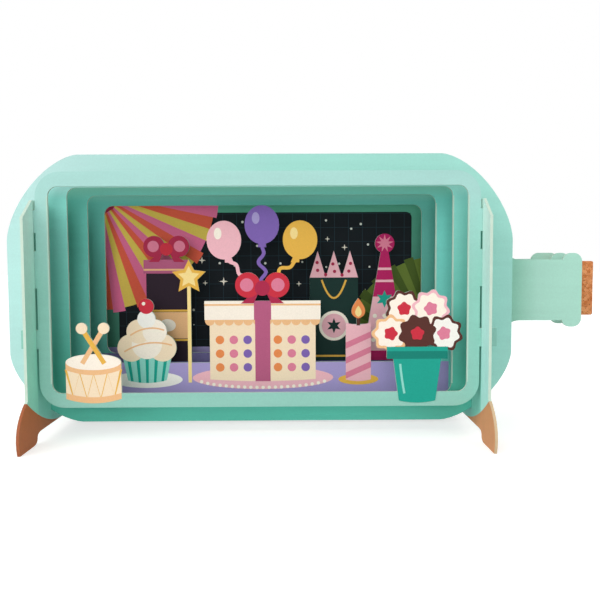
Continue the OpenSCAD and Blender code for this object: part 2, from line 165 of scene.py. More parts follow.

# %% [markdown]
# ## Painted shade inside the stage
# From sheet to sheet the mint inside the stage is painted deeper, as painted shade in the recess, and each
# sheet has a ramp of its own there. It lightens towards the top, or on the middle sheet away from the left
# side, as painted light, as if a lamp hung inside. That makes a stage of five centimetres look much deeper.
# Masks worked out from a point's place keep this painted shade inside: one for the room between the stands,
# one for faces that look to the front, and one that fades out under the body's upper edge. It could be
# painted on a texture, but masks stay sharp and need no unwrapping.
# The stands' inner faces get a deeper mint too, from the ring to the back sheet, as painted shade where the
# ring shades them. It shows as dark gaps beside the ring, between the tabs that hold it.

# %% Painted shade inside the stage
FADE_FROM = 89       # mm above the table; the painted shade is whole up to here
FADE_TO = 97         # and gone from here
STAND_REACH = 0.5    # mm; reaches past a stand's inner face but not to its outer one
STAND_FROM = 78      # mm above the table; the stands' painted shade is whole up to here
STAND_TO = 82        # and gone from here
STAND_PAINTED_SHADE = (14, 34, ("#94E2D2", "#70B7A6"))


# Painted shade: a deeper ramp mixed over the faces inside the stage.
def stage_painted_shade(tree, place, turn, outside, stage):
    # COMPARE gives 1 where input 0 is no further from input 1 than input 2
    between = add(tree, "Math", {"operation": "COMPARE"}, {0: place["X"], 1: body_x, 2: stage_half})[0]
    front = add(tree, "Math", {"operation": "LESS_THAN"}, {0: turn["Y"], 1: 0.0})[0]
    under = add(tree, "MapRange", {}, {0: place["Z"], 1: FADE_TO * MM, 2: FADE_FROM * MM})[0]
    inside = add(tree, "Math", {"operation": "MULTIPLY"}, {0: between, 1: front})[0]
    inside = add(tree, "Math", {"operation": "MULTIPLY"}, {0: inside, 1: under})[0]
    axis, *along = stage
    return add(tree, "Mix", COLOURS, {0: inside, 6: outside, 7: painted_light_ramp(tree, place[axis], *along)})[2]


# Painted shade: a deeper ramp on the stands' inner faces, where the ring shades them.
def stand_painted_shade(tree, place, outside):
    near = {"operation": "COMPARE"}
    inner = add(tree, "Math", near, {0: place["X"], 1: body_x, 2: stage_half + STAND_REACH * MM})[0]
    deep = add(tree, "Math", near, {0: place["Y"], 1: stage_front + stage_deep / 2, 2: stage_deep / 2})[0]
    under = add(tree, "MapRange", {}, {0: place["Z"], 1: STAND_TO * MM, 2: STAND_FROM * MM})[0]
    inside = add(tree, "Math", {"operation": "MULTIPLY"}, {0: inner, 1: deep})[0]
    inside = add(tree, "Math", {"operation": "MULTIPLY"}, {0: inside, 1: under})[0]
    return add(tree, "Mix", COLOURS, {0: inside, 6: outside, 7: painted_light_ramp(tree, place["Z"], *STAND_PAINTED_SHADE)})[2]


print("The stage's print fades out from", FADE_FROM, "to", FADE_TO, "mm")

# %% [markdown]
# ## Brown feet
# Each stand ends in two splayed feet, printed in the brown of turned wood. The border between brown and mint
# is low in the middle of the stand and climbs towards the feet. A parabola follows it well, and takes two
# nodes: the square of y, and a multiply-add that turns it into the border's height at that place.

# %% Brown feet
RAIL_TOP = 3.9       # mm; the border's height in the middle of the stand
FOOT_RISE = 13.1     # mm; how much higher it is at a foot
FOOT_AT = 39.5       # mm; how far a foot is from the stand's middle


def foot_print(tree, place, above, foot_hex):
    square = add(tree, "Math", {"operation": "MULTIPLY"}, {0: place["Y"], 1: place["Y"]})[0]
    climb = FOOT_RISE * MM / (FOOT_AT * MM) ** 2
    border = add(tree, "Math", {"operation": "MULTIPLY_ADD"}, {0: square, 1: climb, 2: RAIL_TOP * MM})[0]
    under = add(tree, "Math", {"operation": "LESS_THAN"}, {0: place["Z"], 1: border})[0]
    return add(tree, "Mix", COLOURS, {0: under, 6: above, 7: linear(foot_hex)})[2]


print("The brown climbs from", RAIL_TOP, "to", RAIL_TOP + FOOT_RISE, "mm")

# %% [markdown]
# ## Printed sheets
# A die-cut sheet shows two things: the printed face, and the raw board along every cut. The direction of the
# surface tells them apart, as a face looks along the sheet's thickness and a cut looks across it. So one
# material covers a whole sheet, and the CAD mesh need not be split. The coating is dull, which gives the eye
# a soft colour without highlights. The two stands have feet in two browns, a shaded and a lit copy of one
# brown. The left one's darker brown and the brown of its cut are painted shade, and the right one's paler
# brown is painted light. Only the right one shows its raw cut there.

# %% Printed sheets
CARD_ROUGH = 0.62
CARD_SHEEN = 0.25    # half of a smooth coating's, because the dull one is full of pores
CARD_DEPTH = 0.02    # mm
CARD_TONES = (0.82, 1.18)
CUT_TURN = 0.5       # a cut's direction has less than this along the sheet's thickness
BOARD = "#C8DDCD"
# Painted light and shade on the faces: each ramp is paler where light falls, at the top or the left, and
# darker below or at the neck's root, where shade falls.
RING_PAINTED_LIGHT = ("Z", 55, 92, ("#8FC6B8", "#A6D4CD"))
BODY_PAINTED_LIGHT = ("X", -100, -10, ("#B8DEDA", "#A1DBCF"))
NECK_PAINTED_SHADE = ("X", 74, 88, ("#89C9B1", "#ADDDCC"))
BACK_PAINTED_SHADE = ("X", 74, 106, ("#A3D8C8", "#B2DECD"))
LEFT_STAND_PAINTED_LIGHT = ("Z", 30, 80, ("#9FECD6", "#D5FCEF"))
RIGHT_STAND_PAINTED_LIGHT = ("Z", 30, 80, ("#BFF5ED", "#D8F8EE"))


def card(name, across, face, stage=None, foot=None):
    """Printed card whose thickness lies across. The painted light and shade ramps face and stage start with
    their axis, and foot gives the browns of a foot's face and cut."""
    made, tree, surface = new_material("offset_printed_card_" + name, CARD_ROUGH, CARD_SHEEN)
    spot = add(tree, "NewGeometry", {}, {})
    place = add(tree, "SeparateXYZ", {}, {0: spot["Position"]})
    turn = add(tree, "SeparateXYZ", {}, {0: spot["True Normal"]})
    axis, *along = face
    colour = painted_light_ramp(tree, place[axis], *along)
    cut = linear(BOARD)
    if stage:
        colour = stage_painted_shade(tree, place, turn, colour, stage)
    if foot:
        colour = stand_painted_shade(tree, place, colour)
        colour = foot_print(tree, place, colour, foot[0])
        cut = foot_print(tree, place, cut, foot[1])
    raw = add(tree, "Math", {"operation": "COMPARE"}, {0: turn[across], 1: 0.0, 2: CUT_TURN})[0]
    colour = add(tree, "Mix", COLOURS, {0: raw, 6: colour, 7: cut})[2]
    print_surface(tree, surface, colour, (FIBRE, CLOUD, STREAK), CARD_TONES, CARD_DEPTH)
    return made


cards = {
    "front_frame": card("front_ring", "Y", RING_PAINTED_LIGHT),
    # The fourth value is the painted shade inside the stage: deeper on each sheet further back, darker
    # towards the bottom, and on the middle sheet darker at the left.
    "bottle_front": card("bottle_front", "Y", BODY_PAINTED_LIGHT, ("Z", 20, 75, ("#55BAA6", "#83D1C5"))),
    "middle_frame": card("middle_sheet", "Y", NECK_PAINTED_SHADE, ("X", -96, -76, ("#5AB0A0", "#76D0C5"))),
    "rear_frame": card("rear_sheet", "Y", BACK_PAINTED_SHADE, ("Z", 60, 92, ("#54A294", "#69BFB4"))),
    "back_panel": card("back_sheet", "Y", BACK_PAINTED_SHADE, ("Z", 60, 92, ("#4A8E79", "#60B59A"))),
    # Feet: the left stand's darker brown and brown cut are painted shade, and the right stand's paler brown
    # is painted light.
    "left_stand": card("left_stand", "X", LEFT_STAND_PAINTED_LIGHT, foot=("#C27041", "#A55E3B")),
    "right_stand": card("right_stand", "X", RIGHT_STAND_PAINTED_LIGHT, foot=("#E39D6B", "#D0B692")),
}
for name, material in cards.items():
    nodes[name].data.materials.clear()
    nodes[name].data.materials.append(material)
print("Sheets with printed card:", len(cards))

# %% [markdown]
# ## Cork slip
# The bottle's cork is a slip of card, printed like pressed cork: grains one or two millimetres across, each
# in its own brown, with dark specks of bark between them. Voronoi cells are a good match for pressed grains,
# since both are pieces that fill a space. A finer noise, cut off at a high value, leaves the specks.

# %% Cork slip
GRAIN = 1.2          # mm across a grain
SPECK = 0.5          # mm across a speck
SPECK_FROM = 0.61    # a higher value leaves fewer specks
CORK_ROUGH = 0.8     # no coating over this print, so it is duller than the mint
CORK_TONES = (0.92, 1.08)

cork, tree, surface = new_material("offset_printed_card_cork", CORK_ROUGH, CARD_SHEEN)
place = add(tree, "NewGeometry", {}, {})["Position"]
grains = add(tree, "TexVoronoi", {}, {"Vector": place, "Scale": 1 / (GRAIN * MM)})["Color"]
tone = add(tree, "SeparateXYZ", {}, {0: grains})["X"]
brown = add(tree, "Mix", COLOURS, {0: tone, 6: linear("#C8713A"), 7: linear("#E9A06A")})[2]
fine = add(tree, "TexNoise", {}, {"Vector": place, "Scale": 1 / (SPECK * MM), "Detail": NOISE_DETAIL})[0]
dark = add(tree, "Math", {"operation": "GREATER_THAN"}, {0: fine, 1: SPECK_FROM})[0]
brown = add(tree, "Mix", COLOURS, {0: dark, 6: brown, 7: linear("#7E4526")})[2]
print_surface(tree, surface, brown, (FIBRE,), CORK_TONES, CARD_DEPTH)
nodes["cork"].data.materials.clear()
nodes["cork"].data.materials.append(cork)
print("Cork grains:", GRAIN, "mm")

# %% [markdown]
# ## Inks
# The figures are printed in offset inks that soak into the dull coating. They are even duller than the card,
# and the press leaves a fine grain in each field of colour. Every ink is a material of its own, so that a
# figure can be drawn as a list of inks and shapes. A dark ink shows a reflection more than a pale one, so
# the weak sheen is what keeps the navy field dark.

# %% Inks
INK_ROUGH = 0.7
INK_SHEEN = 0.15
INK_GRAIN = (0.45, 0.45, 0.45)   # mm; a print dot is 0.1 mm, so it is drawn coarser to show
INK_DEPTH = 0.01                 # mm
INK_TONES = (0.9, 1.08)
INK_HEXES = {
    "white": "#F5F1EA", "pale_cream": "#FBEFE0", "cream": "#F6DFC0", "peach": "#EEBB88", "orange": "#E88A50",
    "pale_gold": "#F6DA92", "gold": "#E6B24C", "mustard": "#CDA64C", "fan_gold": "#F6D462",
    "pink": "#F0B6C0", "deep_pink": "#DD7E98", "rose": "#B65C80", "fan_rose": "#F779A8",
    "raspberry": "#AE2B4C", "magenta": "#B5205F", "red": "#CB3142", "fan_red": "#F7684F",
    "olive": "#75893C", "moss": "#55692C", "painted_edge_highlight": "#B6D6C7", "pale_teal": "#8FD6C8",
    "teal": "#1FA08E", "dark_teal": "#157F71", "bottle_green": "#17322E",
    "violet": "#7E62AE", "lilac": "#A799CC", "shade_lilac": "#6E6796",
    "chocolate": "#57302A", "plum": "#2C1E2A", "navy": "#151B21", "grid": "#22353F",
}
inks = {}
for name, ink_hex in INK_HEXES.items():
    inks[name], tree, surface = new_material("offset_ink_" + name, INK_ROUGH, INK_SHEEN)
    print_surface(tree, surface, linear(ink_hex), (INK_GRAIN,), INK_TONES, INK_DEPTH)
print("Inks:", len(inks))

# %% [markdown]
# ## Print as thin plates
# Real ink is a film about 0.002 mm thick. A film that thin would flicker against the card in a render, so
# each colour is a closed plate drawn a little thicker, and each next colour is 0.012 mm prouder than the one
# before. The plates start inside the card, so that no light gets under them. A figure is one object made
# from loops of points, because a loop is easy to draw with a few lines of arithmetic.

# %% Print as thin plates
STEP = 0.012         # mm from one colour to the next
SINK = 0.03          # mm that a plate reaches into the card
ON_CARD = 1          # first step of a print that lies on bare card
ON_TABLE = 2         # first step of a print that may lie on the table's print


def area(loop):
    return sum(a[0] * b[1] - b[0] * a[1] for a, b in zip(loop, loop[1:] + loop[:1])) / 2


def print_on(name, sheet, middle_x, colours, first):
    """Prints loops, in mm from middle_x and from the sheet's foot line, as one object."""
    verts = []
    faces = []
    slots = []
    used = list(dict.fromkeys(colour for colour, loops in colours))
    for step, (colour, loops) in enumerate(colours, first):
        depths = (face_y[sheet] - step * STEP * MM, face_y[sheet] + SINK * MM)
        for loop in loops:
            loop = loop if area(loop) > 0 else loop[::-1]
            count = len(loop)
            front = list(range(len(verts), len(verts) + count))
            for y in depths:
                verts += [(body_x + (middle_x + x) * MM, y, (FOOT_Z[sheet] + z) * MM) for x, z in loop]
            faces.append(front)
            faces.append([i + count for i in reversed(front)])
            faces += [[j, i, i + count, j + count] for i, j in zip(front, front[1:] + front[:1])]
            slots += [used.index(colour)] * (count + 2)
    mesh = bpy.data.meshes.new(name)
    mesh.from_pydata(verts, [], faces)
    for colour in used:
        mesh.materials.append(inks[colour])
    mesh.polygons.foreach_set("material_index", slots)
    made = bpy.data.objects.new(name, mesh)
    bpy.context.scene.collection.objects.link(made)
    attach(made, "root")
    print(f"{name}: {len(used)} inks, {len(faces)} faces")


print("Each colour stands", STEP, "mm prouder than the one before")

# %% [markdown]
# ## Dark field
# The back sheet shows a night-dark field with a faint grid, like a tiled wall seen in the dark, and the
# lilac table along its foot. The field is one rounded plate. The grid could be a texture, but thin bars cost
# little and follow the field's edges exactly. Bars that cross go into two colours' steps, so that no two
# faces lie in one plane.

# %% Dark field
TABLE_HALF = 74      # the table runs on behind the frames
TABLE_LOW = 12
FIELD_HALF = 63.2
FIELD_LOW = 27.8
FIELD_TOP = 85.6
FIELD_ROUND = 2.5
GRID_STEP = 6
GRID_REACH = 60      # place of the outermost columns
GRID_LOW = 31        # height of the lowest row
GRID_HALF = 0.12     # half the width of a bar
GRID_IN = 0.4        # how far the bars stay inside the field


def rect(x0, z0, x1, z1):
    return [(x0, z0), (x1, z0), (x1, z1), (x0, z1)]


def rounded(x0, z0, x1, z1, r):
    """A rectangle with round corners."""
    corners = ((x1 - r, z0 + r, -90), (x1 - r, z1 - r, 0), (x0 + r, z1 - r, 90), (x0 + r, z0 + r, 180))
    loop = []
    for x, z, start in corners:
        angles = [math.radians(start + 15 * i) for i in range(7)]
        loop += [(x + r * math.cos(a), z + r * math.sin(a)) for a in angles]
    return loop


column_x = range(-GRID_REACH, GRID_REACH + 1, GRID_STEP)
row_z = range(GRID_LOW, math.ceil(FIELD_TOP), GRID_STEP)
columns = [rect(x - GRID_HALF, FIELD_LOW + GRID_IN, x + GRID_HALF, FIELD_TOP - GRID_IN) for x in column_x]
rows = [rect(GRID_IN - FIELD_HALF, z - GRID_HALF, FIELD_HALF - GRID_IN, z + GRID_HALF) for z in row_z]
back_print = [
    ("lilac", [rect(-TABLE_HALF, TABLE_LOW, TABLE_HALF, FIELD_LOW)]),
    ("navy", [rounded(-FIELD_HALF, FIELD_LOW, FIELD_HALF, FIELD_TOP, FIELD_ROUND)]),
    ("grid", columns),
    ("grid", rows),
]
print("Grid bars:", len(columns) + len(rows))

# %% [markdown]
# ## Stars
# Small stars and dots are scattered over the dark field. Places drawn wholly at random would clump and
# overlap, so each star stays in a square of its own and is only shifted inside it. The generator has a fixed
# seed, so that every run prints the same sky.

# %% Stars
SKY_STEP = 9         # mm; the side of a star's square
SKY_COLUMNS = 12
SKY_ROWS = 6
SKY_CORNER = (-58.5, 33)
SKY_SHIFT = (0.7, 0.6)    # how far a star may be moved to the side and up, in squares
SPARK_SHARE = 0.3    # the rest are dots
SPARK_SIZES = (1.0, 1.9)
SPARK_INNER = 0.28
SPARK_POINTS = 4
DOT_SIZES = (0.25, 0.55)
scatter = random.Random(11)


def disc(x, z, rx, rz=None, count=36):
    rz = rz or rx
    angles = [2 * math.pi * i / count for i in range(count)]
    return [(x + rx * math.cos(a), z + rz * math.sin(a)) for a in angles]


def star(x, z, r, inner, points=5):
    """A star whose inner radius is a part of the outer one."""
    loop = []
    for i in range(2 * points):
        reach = r if i % 2 == 0 else r * inner
        a = math.pi * i / points
        loop.append((x + reach * math.sin(a), z + reach * math.cos(a)))
    return loop


sparks = []
dots = []
for i in range(SKY_COLUMNS * SKY_ROWS):
    x = SKY_CORNER[0] + SKY_STEP * (i % SKY_COLUMNS + scatter.uniform(0, SKY_SHIFT[0]))
    z = SKY_CORNER[1] + SKY_STEP * (i // SKY_COLUMNS + scatter.uniform(0, SKY_SHIFT[1]))
    if scatter.random() < SPARK_SHARE:
        sparks.append(star(x, z, scatter.uniform(*SPARK_SIZES), SPARK_INNER, SPARK_POINTS))
    else:
        dots.append(disc(x, z, scatter.uniform(*DOT_SIZES), count=10))
back_print += [("white", dots), ("pale_cream", sparks)]
print("Sparks:", len(sparks), "dots:", len(dots))

# %% [markdown]
# ## Paper fans
# Two pleated party fans hang at opposite corners of the field. A pleated fan is a row of narrow wedges
# around one point, with every second pleat a little longer where the paper folds forward. Each colour of
# pleat is printed in its own step. With the fans the back sheet's print is complete.

# %% Paper fans
FAN_LONG = 1.03      # length of every second pleat


def wedge(x, z, r, start, end):
    """A slice of a circle, with its angles in degrees."""
    angles = [math.radians(start + (end - start) * i / 4) for i in range(5)]
    return [(x, z)] + [(x + r * math.cos(a), z + r * math.sin(a)) for a in angles]


def fan(x, z, r, start, end, pleats):
    step = (end - start) / pleats
    lengths = [r * FAN_LONG if i % 2 else r for i in range(pleats)]
    return [wedge(x, z, reach, start + step * i, start + step * (i + 1)) for i, reach in enumerate(lengths)]


big_at = (-71, 94)
big_turn = (-102, 6)
small_at = (75, 26.5)
small_turn = (88, 182)
big_fan = fan(*big_at, 50, *big_turn, pleats=18)
small_fan = fan(*small_at, 40, *small_turn, pleats=16)
back_print += [
    ("fan_rose", big_fan[0::3]),
    ("fan_gold", big_fan[1::3]),
    ("fan_red", big_fan[2::3]),
    ("olive", small_fan[0::2]),
    ("moss", small_fan[1::2]),
    ("raspberry", [wedge(*big_at, 9, *big_turn)]),
    ("mustard", [wedge(*small_at, 7, *small_turn)]),
]
print_on("back_scene", "back_panel", 0, back_print, ON_CARD)

# %% [markdown]
# ## Table
# The lilac table top is a flat band on the lower part of the middle and rear sheets. On the rear sheet it is
# printed in a darker ink, as painted shade where the table runs back behind the middle sheet. A darker ink is
# chosen over a darker lamp.

# %% Table
middle_band = rect(-TABLE_HALF, -3, TABLE_HALF, 10)
rear_band = rect(-TABLE_HALF, -8, TABLE_HALF, 7)
print_on("middle_table", "middle_frame", 0, [("lilac", [middle_band])], ON_CARD)
# The darker lilac of the rear table is painted shade.
print_on("rear_table", "rear_frame", 0, [("shade_lilac", [rear_band])], ON_CARD)

# %% [markdown]
# ## Painted highlights beside the cuts
# A pale line is printed beside the cut as a painted highlight, where light falls on the cut edge: on both
# upright sides of the ring's window, and on the right sides of the next two. A bevel on the sheet would
# change the CAD mesh, so the line is printed instead, as a narrow strip.

# %% Painted highlights beside the cuts
HIGHLIGHT_WIDTH = 0.5            # mm wide
LEFT = -1
RIGHT = 1
SIDES = (LEFT, RIGHT)
# Width of a window's side strip, where its straight side starts and ends above the table, and its lit sides
WINDOWS = {
    "front_frame": (5.2, 21.4, 88.8, SIDES),
    "bottle_front": (7.9, 18.5, 89.5, (RIGHT,)),
    "middle_frame": (11.8, 28.4, 87.5, (RIGHT,)),
}
# Painted highlight: a pale strip beside the lit sides of each window's cut.
for sheet, (strip, start, end, lit) in WINDOWS.items():
    x = stage_half / MM - strip + HIGHLIGHT_WIDTH / 2
    low = start - FOOT_Z[sheet]
    high = end - FOOT_Z[sheet]
    edge_highlights = [rect(s * x - HIGHLIGHT_WIDTH / 2, low, s * x + HIGHLIGHT_WIDTH / 2, high) for s in lit]
    print_on(sheet + "_edge_highlights", sheet, 0, [("painted_edge_highlight", edge_highlights)], ON_TABLE)

# %% [markdown]
# ## Tall parcel
# On the rear sheet stands a dark parcel with a label, a lid and a ribbon bow, cut out as part of the sheet.
# Its sizes repeat those of the cut shape, so the print stops where the card does. Colours go from the large
# fields to the small marks, just as a printer lays them. The bow is a function, because the gift box in the
# middle has one too.

# %% Tall parcel
REAR_LOW = 3.5       # rear figures start this far above their foot, behind the table's edge


def bow(z, r, tail_ink, loop_ink, knot_ink):
    """Tails, loops with a light inside, and the knot, in parts of a loop's radius."""
    tails = [[(0, z + 0.3 * r), (s * 1.7 * r, z - 1.2 * r), (s * 0.7 * r, z - 1.2 * r)] for s in SIDES]
    loops = [disc(s * 1.15 * r, z + 0.25 * r, r) for s in SIDES]
    lights = [disc(s * 1.23 * r, z + 0.26 * r, 0.53 * r) for s in SIDES]
    return [(tail_ink, tails), (loop_ink, loops), ("deep_pink", lights), (knot_ink, [disc(0, z, 0.6 * r)])]


half = 8.5
top = 40
lid_half = 9.5
lid_top = 45.61
label_low = 13
label_top = 24
loop_r = 4.4
lines = [rect(-half, label_low - 1, half, label_low - 0.2), rect(-half, label_top + 0.2, half, label_top + 1)]
parcel = [
    ("plum", [rect(-half, REAR_LOW, half, top)]),
    ("peach", [rect(-half, label_low, half, label_top)]),
    ("gold", lines),
    ("pale_cream", [disc(0, (label_low + label_top) / 2, 3.4, 2.6)]),
    ("rose", [rect(-lid_half, top, lid_half, lid_top)]),
    ("peach", [rect(-lid_half, top + 1.2, lid_half, top + 1.9)]),
]
parcel += bow(lid_top + loop_r, loop_r, "raspberry", "raspberry", "red")
print_on("parcel_print", "rear_frame", -40, parcel, ON_TABLE)

# %% [markdown]
# ## Gift bag
# The gift bag is dark green with a round seal, and tissue paper stands out of it in peaks. The tissue is one
# zigzag outline that repeats the cut. The cord handle is a line drawn with a width, which is how a pen would
# draw it, so a stroke function follows a curve and steps half a width to each side.

# %% Gift bag
def curve(a, b, c, count=12):
    """Points of a line that leaves a towards b and ends at c."""
    line = []
    for i in range(count + 1):
        t = i / count
        line.append(tuple((1 - t) ** 2 * p + 2 * t * (1 - t) * q + t * t * r for p, q, r in zip(a, b, c)))
    return line


def stroke(points, width):
    """A strip of one width along a line of points."""
    left = []
    right = []
    for i, (x, z) in enumerate(points):
        before = points[max(i - 1, 0)]
        after = points[min(i + 1, len(points) - 1)]
        along = Vector((after[0] - before[0], after[1] - before[1])).normalized() * width / 2
        left.append((x - along.y, z + along.x))
        right.append((x + along.y, z - along.x))
    return right + left[::-1]


half = 10
top = 38
peak = 11
seal_z = 18
zigzag = [(-half + i * half / 3, top + peak * (i % 2)) for i in range(7)]
spots = (
    (-6.7, 41), (-6.9, 44.2), (0.3, 40.5), (-0.4, 43.6), (6.2, 40.6), (6.9, 43.8), (-3.4, 39.2), (3.4, 39),
)
handle = stroke(curve((-5, top - 1), (0, top - 16), (5, top - 1)), 0.8)
print_on("gift_bag_print", "rear_frame", 29, [
    ("pink", [[(half, top - 0.5), (-half, top - 0.5)] + zigzag]),
    ("raspberry", [disc(x, z, 0.7, count=12) for x, z in spots]),
    ("bottle_green", [rect(-half, REAR_LOW, half, top)]),
    ("gold", [handle, rect(-half, 5, half, 5.8)]),
    ("pale_cream", [disc(0, seal_z, 6.2)]),
    ("pink", [disc(0, seal_z, 5)]),
    ("bottle_green", [star(0, seal_z, 3.2, 0.45, 6)]),
], ON_TABLE)

# %% [markdown]
# ## Party hat
# The party hat is a tall cone, so each band of its print has slanted ends. One function gives the hat's half
# width at a height, and every band asks it at its lower and upper edge. A drawn-out list of corners would
# work as well, but would have to be drawn again for a hat of another size.

# %% Party hat
HAT_HALF = 10
HAT_TIP = 1
HAT_TOP = 52


def hat_half(z):
    return HAT_HALF - (HAT_HALF - HAT_TIP) * z / HAT_TOP


def hat_band(low, high):
    return [(-hat_half(low), low), (hat_half(low), low), (hat_half(high), high), (-hat_half(high), high)]


spots = ((-4.6, 12), (0, 12), (4.6, 12), (-2.4, 17), (2.4, 17), (0, 22), (-4, 22), (4, 22))
print_on("party_hat_print", "rear_frame", 50, [
    ("pink", [hat_band(REAR_LOW, HAT_TOP)]),
    ("magenta", [hat_band(30, HAT_TOP), hat_band(REAR_LOW, 7.5)]),
    ("pale_cream", [disc(x, z, 0.9, count=16) for x, z in spots]),
    ("teal", [star(0, 29, 3.6, 0.5, 6)]),
    ("pink", [hat_band(36, 37), hat_band(41, 42)]),
    ("magenta", [disc(0, HAT_TOP, 4)]),
    ("deep_pink", [star(0, HAT_TOP, 3.7, 0.45, 9)]),
], ON_TABLE)

# %% [markdown]
# ## Cupcake
# A cupcake stands on a paper doily: a pleated cup, piped icing and a cherry. The icing is a heap of round
# blobs at the same places as in the cut shape. Each blob gets a step of its own, because blobs overlap and
# two faces in one plane would flicker. The cup's foot hangs in a slight curve, so that it looks round.

# %% Cupcake
# Place, height above the cup and radius of each blob, in half widths of the cup
ICING = ((-0.62, 0.2, 0.55), (0.62, 0.2, 0.55), (0, 0.35, 0.6), (-0.32, 0.85, 0.48), (0.32, 0.85, 0.48),
         (0, 1.35, 0.36))
ICING_INKS = ("cream", "cream", "pale_cream", "cream", "pale_cream", "white")


def band(half, low, high, sag, low_in=0.0):
    """A strip whose long edges hang down by sag in the middle; low_in narrows its lower edge."""
    steps = [-1 + 2 * i / 12 for i in range(13)]
    under = [((half - low_in) * u, low - sag * (1 - u * u)) for u in steps]
    over = [(half * u, high - sag * (1 - u * u)) for u in reversed(steps)]
    return under + over


cup = 10             # half the width of the cup's top
cup_top = 14
cup_low = 3
cup_in = 2.3
cup_sag = 1.1
pleats = []
for u in (-0.78, -0.39, 0, 0.39, 0.78):
    low_x = (cup - cup_in) * u
    low_z = cup_low - cup_sag * (1 - u * u)
    top_x = 0.99 * cup * u
    foot = [(low_x - 0.5, low_z), (low_x + 0.5, low_z)]
    pleats.append(foot + [(top_x + 0.7, cup_top), (top_x - 0.7, cup_top)])
blobs = [[disc(cup * x, cup_top + cup * z, cup * r)] for x, z, r in ICING]
swirls = [curve((-9, 14.5), (0, 20), (10, 17)), curve((-6.5, 21), (0, 25.5), (7, 23))]
cupcake = [
    ("white", [disc(0, 3.2, 14, 3.3)]),
    ("pale_teal", [band(cup, cup_low, cup_top, cup_sag, cup_in)]),
    ("teal", pleats),
]
cupcake += list(zip(ICING_INKS, blobs))
cupcake += [
    ("peach", [stroke(swirl, 0.6) for swirl in swirls]),
    ("red", [disc(0, 32.5, 3)]),
    ("pale_cream", [disc(-1, 33.6, 0.7, count=12)]),
]
print_on("cupcake_print", "middle_frame", -46, cupcake, ON_TABLE)

# %% [markdown]
# ## Star wand
# A gold star on a thin stick stands beside the cupcake. A second, paler star inside the first gives it the
# look of a stamped foil star. A modelled ridge would do the same, but on card it is only print.

# %% Star wand
wand_half = 0.7
star_z = 44
print_on("star_wand_print", "middle_frame", -29, [
    ("pale_gold", [rect(-wand_half, 2, wand_half, star_z - 2)]),
    ("gold", [star(0, star_z, 7, 0.5)]),
    ("pale_gold", [star(0, star_z, 4.4, 0.5)]),
], ON_TABLE)

# %% [markdown]
# ## Balloons
# Three balloons float over the gift box on curly strings. Each is an oval with a small tie and a light spot
# at the upper left, where a lamp would shine on it. The string is a sine wave that swings less at its two
# ends, so that it meets the bow and the tie cleanly. A string is cut out of card here, so it is as wide as
# card can be cut.

# %% Balloons
KNOT_Z = 39.5        # mm; where the strings start, in the bow on the gift box
BALLOON = (6.8, 7.62)
BALLOON_STEP = 15
STRING = 1.4
SWAY = 1.6
BALLOON_INKS = {-1: ("pink", "pale_cream"), 0: ("violet", "lilac"), 1: ("gold", "pale_gold")}


def wavy(a, b, width, sway):
    """A curly string of one width from a to b."""
    way = Vector(b) - Vector(a)
    side = Vector((-way.y, way.x)).normalized()
    line = []
    for i in range(25):
        t = i / 24
        swing = sway * math.sin(4 * math.pi * t) * math.sin(math.pi * t)
        line.append(tuple(Vector(a) + way * t + side * swing))
    return stroke(line, width)


balloon_print = []
for i, (colour, shine) in BALLOON_INKS.items():
    x = BALLOON_STEP * i
    z = KNOT_Z + 25 - 6 * abs(i)
    tie_x = x - 0.3 * BALLOON[0] * i
    tie_z = z - 1.3 * BALLOON[0]
    balloon_print += [
        (colour, [wavy((0, KNOT_Z), (tie_x, tie_z + 0.5), STRING, SWAY)]),
        (colour, [[(x, z), (tie_x - 1.7, tie_z), (tie_x + 1.7, tie_z)]]),
        (colour, [disc(x, z, *BALLOON)]),
        (shine, [disc(x - 2.4, z + 2.6, 1.5, 2.3)]),
    ]
print("Balloons:", len(BALLOON_INKS))

# %% [markdown]
# ## Gift box
# The gift box is the largest figure: a spotted box with a scalloped top, a lid, a ribbon and a bow, on a pink
# mat with a row of stitches. The spots are laid on a grid and shared out among three inks in turn. The box's
# foot hangs in a slight curve like the cup's. The balloons are printed before the bow, so that the bow covers
# the ends of their strings.

# %% Gift box
half = 21
box_low = 3.2
box_top = 27
lid_half = 23
lid_top = 34.5
ribbon = 3
bow_r = 5
mat = (28, 4.6)
mat_z = 3.8
stitch_x = [-24.5 + 2.45 * i for i in range(21)]
stitches = [disc(x, mat_z - 3.9 * math.sqrt(1 - (x / 26.6) ** 2), 0.7, count=12) for x in stitch_x]
spots = [disc(x, z, 1.7) for z in (8, 13.5, 19) for x in (-17, -11.5, -6, 6, 11.5, 17)]
gift_box = [
    ("pink", [disc(0, mat_z, *mat, 48)]),
    ("pale_cream", stitches),
    ("cream", [band(half, box_low, box_top + 0.2, 0.8)]),
    ("orange", spots[0::3]),
    ("deep_pink", spots[1::3]),
    ("violet", spots[2::3]),
    ("peach", [disc(-20.9 + 3.8 * i, box_top - 0.4, 1.9, count=20) for i in range(12)]),
    ("rose", [rect(-ribbon, 2.4, ribbon, box_top)]),
    ("pale_cream", [rect(-lid_half, box_top, lid_half, lid_top)]),
    ("peach", [rect(-lid_half, lid_top - 1.9, lid_half, lid_top - 1.2)]),
    ("rose", [rect(-ribbon - 0.4, box_top, ribbon + 0.4, lid_top)]),
]
gift_box += balloon_print
gift_box += bow(KNOT_Z, bow_r, "raspberry", "red", "raspberry")
print_on("gift_box_print", "middle_frame", 0, gift_box, ON_TABLE)

# %% [markdown]
# ## Candle
# A striped candle burns on a gold dish. The flame is two mirrored curves that meet in a point, with a paler
# core of the same kind inside it. It is ink, so it gives no light: a lamp in its place would light the sheets
# around it, which printed card never does.

